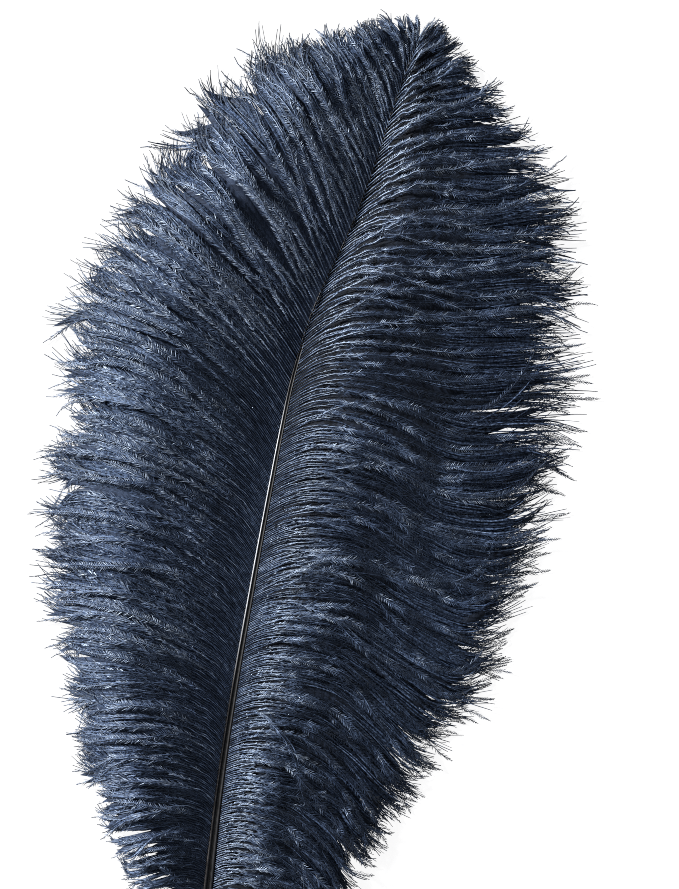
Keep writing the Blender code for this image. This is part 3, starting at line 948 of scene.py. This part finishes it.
def shadeWebFinish():
    # chevrons that slant outwards from the middle of each strip
    material, tree, shader = newFinish("painted shade web", 0.7, 0.15)
    across, along = mapParts(tree)
    strips = sums(tree, "MULTIPLY", across, float(web["strips"]))
    kind = sums(tree, "FLOOR", strips)
    aside = sums(tree, "ABSOLUTE", sums(tree, "SUBTRACT", sums(tree, "FRACT", strips), 0.5))
    walked = sums(tree, "MULTIPLY", along, web["countedLength"])
    slanted = sums(tree, "SUBTRACT", walked, sums(tree, "MULTIPLY", aside, web["slant"]))
    spot = joined(tree, sums(tree, "DIVIDE", slanted, web["pitch"]), sums(tree, "MULTIPLY", walked, 0.12),
                  sums(tree, "MULTIPLY", kind, 5.3))
    lit = ramp(tree, noise(tree, spot, 1.0, 2.0), ((0.40, grey(0.0)), (0.66, grey(1.0))))
    level = sums(tree, "DIVIDE", kind, web["strips"] - 1.0)
    gaps, strands = ramp(tree, level, web["gaps"]), ramp(tree, level, web["strands"])
    colour = mixColours(tree, "MIX", lit, gaps, strands)
    # painted shade beside the shaft, darker towards the barb's root, above all on the right vane
    smooth = sums(tree, "MINIMUM", sums(tree, "MULTIPLY", sums(tree, "MAXIMUM", kind, 1.0), 0.5), 1.5)
    smooth = sums(tree, "MINIMUM", sums(tree, "SUBTRACT", smooth, 0.5), 1.0)
    deepShade = mixColours(tree, "MIX", smooth, ramp(tree, along, web["rootShade"]), (1.0, 1.0, 1.0, 1.0))
    tree.links.new(multiplied(tree, colour, deepShade), shader.inputs["Base Color"])
    return material


def webGaps(lines):
    # how far each barb lies from the next, evened out over nine barbs
    gap = np.linalg.norm(np.diff(lines[..., :2], axis=0, append=lines[-1:, :, :2]), axis=2)
    gap[-1] = gap[-2]
    even = np.ones(9) / 9.0
    return np.apply_along_axis(
        lambda row: np.convolve(np.pad(row, 4, mode="edge"), even, mode="valid"), 0, gap)


def growWeb(vane):
    side, along, stray, count = vane.side, vane.along[:, None], vane.stray, len(vane.along)
    wild, length = vane.wild[:, None], vane.length[:, None]
    chance = np.random.default_rng(web["seed"] + side)
    stop = (chance.uniform(*ofSide(side, web["end"]), count) - np.where(stray, 0.12, 0.0))[:, None]
    share = np.linspace(0.0, 1.0, web["points"])[None, :]
    first = 0.35 * shaftWidth(vane.along)[:, None] / length
    first = first * (1.0 - after(along, 285.0, 20.0))
    reached = first + (stop - first) * share
    even, real = walkLines(vane.even, reached * steps), walkLines(vane.loose, reached * steps)
    follow = np.where(stray, 0.0, 0.25)[:, None] * after(share, 0.45, 0.35)
    closer = np.where(stray, 0.0, 0.4 + 0.35 * vane.wild)[:, None]
    follow = follow + closer * ease((share - 0.80 + 0.4 * wild) / 0.15)
    lines = even + (real - even) * follow[..., None]
    gap = webGaps(lines)
    below = web["drop"] * (1.0 - 0.75 * after(share, 0.55, 0.35))
    lower = chance.uniform(0.0, 0.5, count)[:, None] * share
    lines[..., 2] -= below * ease((share + 0.03) / 0.13) + lower
    lines[..., 2] = np.maximum(lines[..., 2], 0.3)

    half = np.clip(gap * 0.85, *web["halfWidth"]) * (0.7 + 0.3 * ease(share / 0.25))
    half = half * np.clip((1.0 - share) / 0.12, 0.0, 1.0) ** 0.8 + 0.04
    half = half * (1.0 - 0.5 * wild * after(share, 0.3, 0.3))
    half = half * np.minimum(1.0, vane.length / 45.0)[:, None]
    plain = chance.random((count, 1))
    kind = np.floor(2.0 * plain) + (2.0 if side < 0 else 0.0)
    if side < 0:
        kind = kind + 2.0 * (plain < after(along, 285.0, 50.0))
        kind = np.where(vane.ribbed < 0.5, 6.0 + np.floor(2.0 * plain), kind)
    guide = guideObject("web guide", lines, {
        "thick": half * mm, "tone": (kind + 0.5) / web["strips"],
        "share": reached * length / web["mapLength"]})
    return grow(guide, ribbons, ofVane("web", side), webFinish,
                {"Across": 3, "Ridge": web["ridge"], "Map Width": web["stripWidth"]})


ribbons = webTree()
webFinish = shadeWebFinish()
for vane in vanes:
    ridePlume(growWeb(vane))

# Fine hairs that close the fringe. Pairs are for the left and the right vane where no note says
# otherwise.
fringe = {
    "seed": 51,
    "hairs": (9, 8),  # beside each barb, out to the edge
    "inner": 1,  # and these between the barbs further in
    "points": 11,  # of each hair
    "start": (0.50, 0.70),  # least and most share of the barb's length
    "end": (0.90, 1.0),  # least and most again
    "endShare": (0.975, 1.0),
    "innerStart": (0.05, 0.50),  # least and most
    "innerLength": (0.2, 0.36),  # least and most
    "follow": (0.7, 0.0),  # how closely a hair at least keeps to its own barb
    "width": 0.54,
    "tilt": 55.0,  # a hair's flat side is turned by up to this much
    "aside": 1.7,  # mm to either side of the barb
    "curl": 1.5,
    "hook": (8.0, 2.4),  # mm that the tips of a tuft hook aside
    "hookWay": (0.9, 0.1),  # how much alike they do
    "hookLate": (5.0, 3.5),  # how close to the tip the hook starts
    "darker": (0.34, 0.20),  # at the tips
}


def growFringe(vane):
    side = vane.side
    chance = np.random.default_rng(fringe["seed"] + side)
    room = readTable(barbs["pitch"], vane.along)[:, 0]
    hairs = np.round(ofSide(side, fringe["hairs"]) * room ** 0.8).astype(int) * (vane.length > 20.0)
    inner = np.round(fringe["inner"] * (vane.along < 280.0)).astype(int)
    every = np.arange(len(room))
    pick = np.concatenate([np.repeat(every, hairs), np.repeat(every, inner)])
    outer = np.arange(len(pick)) < hairs.sum()
    count = len(pick)
    outerStart = chance.uniform(*fringe["start"], count)
    first = np.where(outer, outerStart, chance.uniform(*fringe["innerStart"], count))[:, None]
    outerEnd = chance.uniform(*fringe["end"], count) * ofSide(side, fringe["endShare"])
    innerEnd = first[:, 0] + chance.uniform(*fringe["innerLength"], count)
    stop = np.where(outer, outerEnd, innerEnd)[:, None]
    share = np.linspace(0.0, 1.0, fringe["points"])[None, :]
    along = first + (stop - first) * share
    at = along * (steps - 0.001)
    real, even = walkLines(vane.loose[pick], at), walkLines(vane.even[pick], at)
    wild = vane.wild[pick]
    follow = chance.uniform(ofSide(side, fringe["follow"]), 1.0, count) * (1.0 - wild) + wild
    lines = even + (real - even) * follow[:, None, None]

    heading = np.gradient(lines[..., :2], axis=1)
    heading = heading / np.linalg.norm(heading, axis=2, keepdims=True)
    aside = chance.uniform(-1.0, 1.0, count) * fringe["aside"]
    aside = aside * (0.4 + 0.6 * room[pick]) * (1.0 - 0.6 * wild)
    own = vane.tufts.own
    hook = chance.normal(ofSide(side, fringe["hookWay"]), 0.7, own.max() + 1)[own][pick]
    hook = hook * ofSide(side, fringe["hook"]) * chance.uniform(0.4, 1.2, count)
    hook = hook * np.minimum(1.0, vane.length[pick] / 90.0) ** 2
    curl = chance.normal(0.0, fringe["curl"], count) * (1.0 - 0.5 * wild)
    shift = aside[:, None] * (0.5 + 0.5 * share) + curl[:, None] * share ** 3
    shift = shift - np.where(outer, hook, 0.0)[:, None] * share ** ofSide(side, fringe["hookLate"])
    lines[..., 0] -= heading[..., 1] * shift
    lines[..., 1] += heading[..., 0] * shift
    lines[..., 2] -= chance.uniform(0.1, 1.3, count)[:, None] * (1.0 - 0.6 * share)
    lines[..., 2] = np.maximum(lines[..., 2], 0.25)

    half = fringe["width"] / 2.0 * (0.25 + 0.75 * ease(share / 0.2)) * (1.0 - 0.5 * share ** 3)
    half = half * np.where(outer, 1.0, 0.8)[:, None]
    darker = np.where(outer, ofSide(side, fringe["darker"]), 0.0)[:, None] * after(share, 0.5, 0.4)
    # painted light on the lower left vane's outer hairs, which face the light
    paler = 0.24 * (side < 0) * (1.0 - vane.ribbed[pick]) * after(along, 0.4, 0.2)
    tone = np.clip(0.34 + chance.normal(0.0, 0.20, (count, 1)) + paler - darker, 0.03, 0.97)
    tilt = np.radians(chance.uniform(-fringe["tilt"], fringe["tilt"], (count, 1)))
    guide = guideObject("fringe guide", lines, {
        "thick": half * mm, "tone": 0.04 + 0.9 * tone, "share": along, "tilted": tilt})
    return grow(guide, ribbons, ofVane("fringe", side), fringeFinish, {"Across": 2, "Ridge": 0.0})


for vane in vanes:
    ridePlume(growFringe(vane))

# Barbules that stand clear. Pairs are for the lower and the top barbs where no note says otherwise.
leftEdge = (
    (0.62, 1.3, 22, 10, 0.7), (0.80, 1.25, 22, 9, 0.7), (0.90, 1.0, 20, 9, 0.65),
    (0.95, 0.6, 16, 8, 0.6), (1.0, 0.06, 10, 6, 0.5))
barbules = {
    "seed": 5,
    "spacing": (0.50, 0.44),  # mm, left and right in turn
    "width": 1.0,
    "longest": 3.8,  # mm
    "toneChange": (0.22, 0.13),  # left and right vane
    "sprig": ((0.36, -0.10, 0.0), (0.32, -0.08, 0.02)),  # width, bend and rise of a barbule, length 1
    # share of the barb's length, then a barbule's length share, spread and droop in degrees, and how
    # many of the barbules are there
    "rightHabit": (
        (0.0, 0.02, 12, 24, 0.7), (0.03, 0.05, 15, 22, 0.7), (0.06, 0.24, 20, 18, 0.6),
        (0.14, 0.5, 22, 16, 0.55), (0.26, 0.85, 28, 16, 0.7), (0.45, 1.0, 35, 15, 0.85),
        (0.70, 1.0, 34, 13, 0.85), (0.86, 0.95, 30, 12, 0.85), (0.93, 0.75, 28, 10, 0.9),
        (0.98, 0.5, 26, 8, 0.9), (1.0, 0.2, 20, 6, 0.8)),
    "leftHabit": (
        (0.0, 0.03, 12, 24, 0.7), (0.08, 0.22, 13, 22, 0.6), (0.20, 0.5, 17, 20, 0.6),
        (0.32, 0.8, 24, 16, 0.7), (0.45, 1.05, 26, 14, 0.75), *leftEdge),
    # barbs that stand clear of the others show their barbules on both sides
    "clearHabit": (
        (0.0, 0.02, 12, 20, 0.7), (0.08, 0.25, 20, 18, 0.8), (0.20, 0.6, 34, 15, 1.0),
        (0.40, 0.9, 42, 14, 1.0), (0.72, 0.9, 42, 13, 1.0), (0.88, 0.7, 34, 11, 0.9),
        (0.95, 0.3, 20, 8, 0.8), (1.0, 0.06, 10, 6, 0.6)),
    # the upper part of both vanes, where the barbs stand apart
    "apartHabit": (
        (0.0, 0.06, 16, 20, 0.9), (0.05, 0.28, 28, 16, 1.0), (0.15, 0.45, 37, 14, 1.0),
        (0.30, 0.65, 40, 13, 1.0), (0.50, 0.85, 41, 13, 1.0), (0.80, 0.85, 40, 12, 1.0),
        (0.92, 0.6, 30, 10, 0.9), (1.0, 0.06, 10, 6, 0.6)),
    # the left vane beside the shaft, below where its ribs stand apart
    "smoothHabit": (
        (0.0, 0.12, 10, 6, 0.5), (0.10, 0.26, 10, 6, 0.5), (0.25, 0.6, 14, 8, 0.6),
        (0.42, 1.0, 22, 11, 0.7), *leftEdge),
    "flip": 7.0,  # how much a barb turns its barbules up and down again, degrees
    "twistUp": 14.0,  # and where one twists them up into the light
    "twistOut": 12.0,
}


def sprigObject(layer):
    # one barbule, one unit long: a flat leaf from its root on the barb to its point
    wide, bend, rise = barbules["sprig"][layer]
    middle = 0.45 * bend + rise
    points = [(0.0, 0.0, 0.0), (0.45, -wide / 2.0, middle), (1.0, 0.0, bend), (0.45, wide / 2.0, middle)]
    mesh = bpy.data.meshes.new("sprig")
    mesh.from_pydata(points, [], [(0, 1, 2, 3)])
    mesh.attributes.new("out", "FLOAT", "POINT").data.foreach_set("value", (0.0, 0.45, 1.0, 0.45))
    sprig = bpy.data.objects.new("sprig", mesh)
    bpy.context.scene.collection.objects.link(sprig)
    return sprig


def habitAt(name, share):
    return readTable(barbules[name], share.ravel()).reshape(*share.shape, 4)


def growBarbules(vane, layer, sprig):
    side, chosen = vane.side, vane.top == bool(layer)
    share, length, stray = vane.share[chosen], vane.length[chosen], vane.stray[chosen]
    habit = habitAt("leftHabit" if side < 0 else "rightHabit", share)
    mixed = (1.0 - vane.ribbed[chosen])[..., None] * (1.0 - 0.8 * layer * ease(share / 0.3))[..., None]
    habit = habit + (habitAt("smoothHabit", share) - habit) * mixed
    habit = habit + (habitAt("apartHabit", share) - habit) * vane.apart[chosen][:, None, None]
    clear = stray[:, None] * ease(share / 0.2)
    habit = habit + (habitAt("clearHabit", share) - habit) * clear[..., None]
    size = np.minimum(1.0, 0.35 + length / 90.0)[:, None]
    phase = vane.phase[chosen][:, None]
    turned = wave(2.3 * share + 3.1 * phase) + wave(5.1 * share + 7.7 * phase)
    # here and there a barb twists its barbules up into the light, and there their tone is raised too, a
    # painted highlight
    bright = ease((np.abs(turned) - 1.3) / 0.3) * after(share, 0.15, 0.2)
    bright = bright * np.where(stray, 1.0, 0.6 * layer * (side > 0))[:, None]
    droop = habit[..., 2] + barbules["flip"] * turned * ease(share / 0.3) - barbules["twistUp"] * bright
    guide = guideObject("barbule guide", vane.lines[chosen], {
        "tone": np.clip(vane.tone[chosen] + 0.6 * bright, 0.03, 0.97), "share": share,
        "fill": habit[..., 3] + bright,
        "bladeLength": habit[..., 0] * barbules["longest"] * size * (1.0 - 0.4 * bright) * mm,
        "bladeWidth": barbules["width"] * (0.75 + 0.25 * habit[..., 0]) * mm,
        "spread": np.radians(habit[..., 1] + barbules["twistOut"] * bright), "droop": np.radians(droop)})
    name = ofVane("barbules_top" if layer else "barbules_low", side)
    return grow(guide, blades, name, barbuleFinish, {
        "Blade": sprig, "Spacing": barbules["spacing"][layer] * mm,
        "Seed": barbules["seed"] + side * 3 + layer,
        "Tone Change": ofSide(side, barbules["toneChange"])})


blades = barbuleTree()
for layer in (0, 1):
    sprig = sprigObject(layer)
    for vane in vanes:
        ridePlume(growBarbules(vane, layer, sprig))
    bpy.data.objects.remove(sprig)

shaft = {
    "blunt": (0.0, 0.3, 0.9, 2.0, 3.5, 5.5),  # rings that close the quill's end, mm
    "rings": 230,
    "grooveStart": 30.0,
    "grooveFull": 62.0,
    # right side, over the groove, left side, under the sole: side and height shares
    "section": (
        (0.50, 0.60), (0.485, 0.74), (0.44, 0.86), (0.37, 0.95), (0.29, 1.0), (0.20, 0.955),
        (0.13, 0.85), (0.07, 0.765), (0.0, 0.735), (-0.07, 0.765), (-0.13, 0.85), (-0.20, 0.955),
        (-0.29, 1.0), (-0.37, 0.95), (-0.44, 0.86), (-0.485, 0.74), (-0.50, 0.60), (-0.49, 0.42),
        (-0.43, 0.22), (-0.33, 0.08), (-0.18, 0.0), (0.0, 0.0), (0.18, 0.0), (0.33, 0.08),
        (0.43, 0.22), (0.49, 0.42)),
}


def shaftPlaces(along):
    # the section at every ring: round at the quill, grooved from there on
    lean = np.arctan((shaftAcross(along + 1.0) - shaftAcross(along - 1.0)) / 2.0)
    width = shaftWidth(along)
    width[-1] *= 0.5
    height = width * growth["heightShare"]
    groove = ease((along - shaft["grooveStart"]) / (shaft["grooveFull"] - shaft["grooveStart"]))
    section = np.array(shaft["section"])
    roundness = np.array([math.sqrt(max(0.0, 1.0 - (2.0 * s) ** 2)) for s, _ in shaft["section"]])
    plain = 0.60 + 0.40 * roundness
    upper = section[:, 1] > 0.59
    places = []
    for at in range(len(along)):
        up = section[:, 1].copy()
        up[upper] = plain[upper] * (1.0 - groove[at]) + up[upper] * groove[at]
        aside = section[:, 0] * width[at]
        x = shaftAcross(along[at]) + aside * math.cos(lean[at])
        y = along[at] - aside * math.sin(lean[at])
        z = shaftSole(along[at]) + up * height[at]
        places.append(np.stack([x, y, z], axis=1))
    return toFrame(np.array(places)).reshape(-1, 3)


def shaftMap(share, sides):
    # across the map goes around the shaft, upwards goes along it, and each cap has a small round
    around = np.concatenate([np.arange(sides), [sides]]) / sides
    spots = []
    for at in range(len(share) - 1):
        for side in range(sides):
            for ring, edge in ((at, side), (at + 1, side), (at + 1, side + 1), (at, side + 1)):
                spots.append((around[edge], 0.02 + share[ring]))
    for base in (0.0, 0.99):
        for side in range(sides):
            angle = 2 * math.pi * side / sides
            spots.append((0.5 + 0.005 * math.cos(angle), base + 0.005 + 0.005 * math.sin(angle)))
    return np.array(spots, np.float32).ravel()


def buildShaft():
    end, sides = growth["shaftEnd"], len(shaft["section"])
    along = np.concatenate([shaft["blunt"], np.linspace(8.0, end, shaft["rings"])])
    faces = []
    for ring in range(0, (len(along) - 1) * sides, sides):
        for side in range(sides):
            beside = (side + 1) % sides
            faces.append((ring + side, ring + sides + side, ring + sides + beside, ring + beside))
    faces.append(tuple(range(sides)))
    faces.append(tuple(reversed(range((len(along) - 1) * sides, len(along) * sides))))
    mesh = bpy.data.meshes.new("shaft")
    mesh.from_pydata(shaftPlaces(along).tolist(), [], faces)
    layer = mesh.uv_layers.new(name="OFBake")
    layer.data.foreach_set("uv", shaftMap(along / end * 0.97, sides))
    mesh.validate()
    mesh.shade_smooth()
    piece = bpy.data.objects.new("shaft", mesh)
    bpy.context.scene.collection.objects.link(piece)
    return piece


def shaftFinish():
    material, tree, shader = newFinish("dyed keratin", 0.42, 0.5)
    across, along = mapParts(tree)
    # around the shaft: right side 0, groove 0.31, left lip 0.46, left side 0.61, sole 0.8; the left lip is
    # a little paler all along, a painted highlight
    around = ramp(tree, across, (
        (0.0, (0.005, 0.005, 0.007)), (0.13, (0.012, 0.011, 0.013)), (0.20, (0.006, 0.006, 0.007)),
        (0.31, (0.010, 0.009, 0.009)), (0.42, (0.008, 0.007, 0.008)), (0.47, (0.055, 0.050, 0.050)),
        (0.53, (0.040, 0.036, 0.036)), (0.58, (0.012, 0.012, 0.014)), (1.0, (0.005, 0.005, 0.007))))
    # a painted highlight on the left lip, pale along the middle of the shaft
    paintedLipHighlight = ramp(tree, across, (
        (0.425, grey(0.0)), (0.455, grey(1.0)), (0.52, grey(1.0)), (0.57, grey(0.0))))
    stretch = ramp(tree, along, (
        (0.36, grey(0.0)), (0.43, grey(0.7)), (0.50, grey(1.0)), (0.59, grey(0.8)), (0.64, grey(0.0))))
    colour = mixColours(tree, "MIX", multiplied(tree, paintedLipHighlight, stretch), around, (0.80, 0.82, 0.85, 1.0))
    place = put(tree, "ShaderNodeTexCoord").outputs["Object"]
    stretched = {"Vector": place, "Scale": (1600.0, 60.0, 1600.0)}
    grain = noise(tree, outOf(tree, "ShaderNodeMapping", stretched), 1.0, 2.0)
    fibre = ramp(tree, grain, ((0.3, (0.7, 0.7, 0.72)), (0.7, (1.25, 1.24, 1.22))))
    colour = multiplied(tree, colour, fibre)
    tree.links.new(colour, shader.inputs["Base Color"])
    bump = put(tree, "ShaderNodeBump", {"Strength": 0.25, "Distance": 0.0002, "Height": grain})
    tree.links.new(bump.outputs["Normal"], shader.inputs["Normal"])
    return material


piece = buildShaft()
piece.data.materials.append(shaftFinish())
ridePlume(piece)
print("shaft made")

studio = {
    "sunPower": 6.6,
    "sunAngle": 6.0,
    "sunFrom": 152.0,  # degrees from the picture's right, anticlockwise
    "sunHeight": 26.0,
    "worldPower": 0.27,
    "worldColour": (0.93, 0.96, 1.0, 1.0),
    "floorReach": 3.0,  # metres
    "floorDrop": 0.0002,  # so much under the plume
    "floorColour": (0.12, 0.12, 0.122, 1.0),
    "floorGlow": 0.92,
    "turn": 12.4,  # the plume leans this much to the right in the picture
    "aim": (5.8, 274.0),  # where the camera stands, across and along
    "height": 933.6,
    "lens": 85.0,
}


def makeFloor():
    reach, depth = studio["floorReach"], -studio["floorDrop"]
    corners = [(x * reach, y * reach, depth) for x, y in ((-1, -1), (1, -1), (1, 1), (-1, 1))]
    mesh = bpy.data.meshes.new("floor")
    mesh.from_pydata(corners, [], [(0, 1, 2, 3)])
    finish, _, shader = newFinish("pale floor", 0.9, 0.0)
    shader.inputs["Base Color"].default_value = studio["floorColour"]
    shader.inputs["Emission Color"].default_value = (1.0, 1.0, 1.0, 1.0)
    shader.inputs["Emission Strength"].default_value = studio["floorGlow"]
    mesh.materials.append(finish)
    floor = bpy.data.objects.new("floor", mesh)
    bpy.context.scene.collection.objects.link(floor)


def lightScene(scene):
    scene.world = bpy.data.worlds.new("studio")
    scene.world.use_nodes = True
    background = scene.world.node_tree.nodes["Background"]
    background.inputs["Color"].default_value = studio["worldColour"]
    background.inputs["Strength"].default_value = studio["worldPower"]
    scene.view_settings.view_transform = "Standard"
    scene.cycles.use_denoising = False
    scene.cycles.filter_width = 1.0
    sun = bpy.data.objects.new("key light", bpy.data.lights.new("key light", "SUN"))
    sun.data.energy = studio["sunPower"]
    sun.data.angle = math.radians(studio["sunAngle"])
    heading = math.radians(studio["sunFrom"] + studio["turn"])
    rise = math.radians(studio["sunHeight"])
    level = math.cos(rise)
    towards = Vector((math.cos(heading) * level, math.sin(heading) * level, math.sin(rise)))
    sun.rotation_mode = "QUATERNION"
    sun.rotation_quaternion = towards.to_track_quat("Z", "Y")
    scene.collection.objects.link(sun)


def placeCamera(scene):
    camera = bpy.data.objects.new("camera", bpy.data.cameras.new("camera"))
    camera.data.lens = studio["lens"]
    camera.data.sensor_width = 36.0
    camera.location = toFrame([*studio["aim"], studio["height"]])
    camera.rotation_euler = (0.0, 0.0, math.radians(studio["turn"]))
    camera.data.clip_start = 0.01
    camera.data.clip_end = 20.0
    scene.collection.objects.link(camera)
    scene.camera = camera


makeFloor()
lightScene(bpy.context.scene)
placeCamera(bpy.context.scene)
print("studio set")
